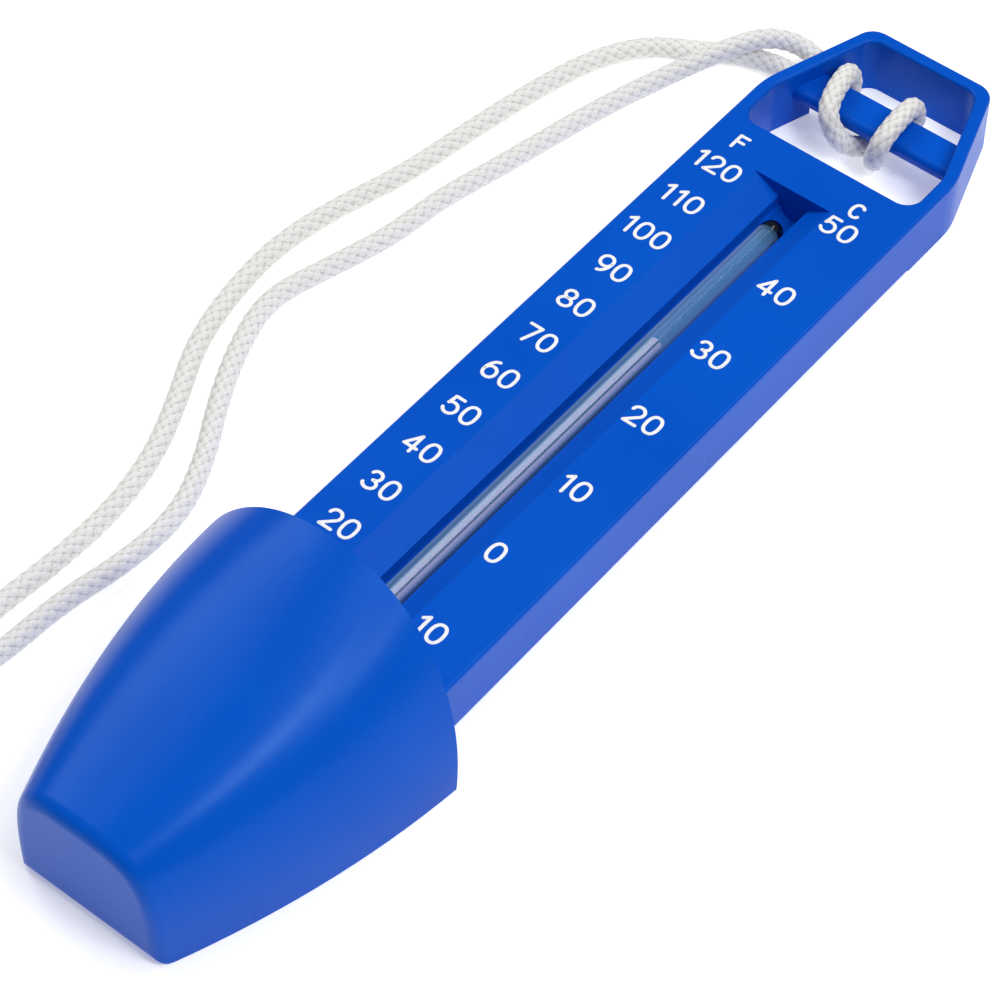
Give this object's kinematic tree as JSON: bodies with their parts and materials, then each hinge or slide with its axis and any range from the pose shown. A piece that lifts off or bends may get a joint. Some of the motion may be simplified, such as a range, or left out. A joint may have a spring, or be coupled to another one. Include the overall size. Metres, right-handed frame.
{
  "type": "floating pool thermometer",
  "caption": "Slim pool thermometer with a scoop cup at the bulb end, a spirit tube in a sunk channel between two printed scales, an open head with a crossbar and a hitched cord.",
  "frame": {"origin": "bottom centre of the plastic parts, in the plane of the flat back that it lies on", "axes": "+Y along the plate towards the head, +Z out of the front face, +X to the right of the scale (the Celsius side)"},
  "size_m": [0.0943, 0.1874, 0.0284],
  "materials": {
    "shell_blue": "smooth moulded, soft gloss",
    "clear_glass": "polished",
    "spirit": "liquid, pale",
    "bush": "matt",
    "cord_white": "braided",
    "tie": "woven band",
    "print_white": "printed ink"
  },
  "bodies": {
    "thermometer": {"scale_body": "shell_blue", "back_cover": "shell_blue", "cup": "shell_blue", "glass_tube": "clear_glass", "tube_bush": "bush", "bulb_fill": "spirit", "spirit_thread": "spirit", "cord_a": "cord_white", "cord_b": "cord_white", "cord_coil": "cord_white", "cord_tie": "tie", "cord_knot": "cord_white"},
    "spirit": {"spirit_meniscus": "spirit"}
  },
  "joints": [
    {"name": "spirit_rise", "type": "slide", "parent": "thermometer", "child": "spirit", "axis": [0, 1, 0], "range_m": [-0.0562, 0.0245], "deforming": ["spirit_thread"]}
  ]
}
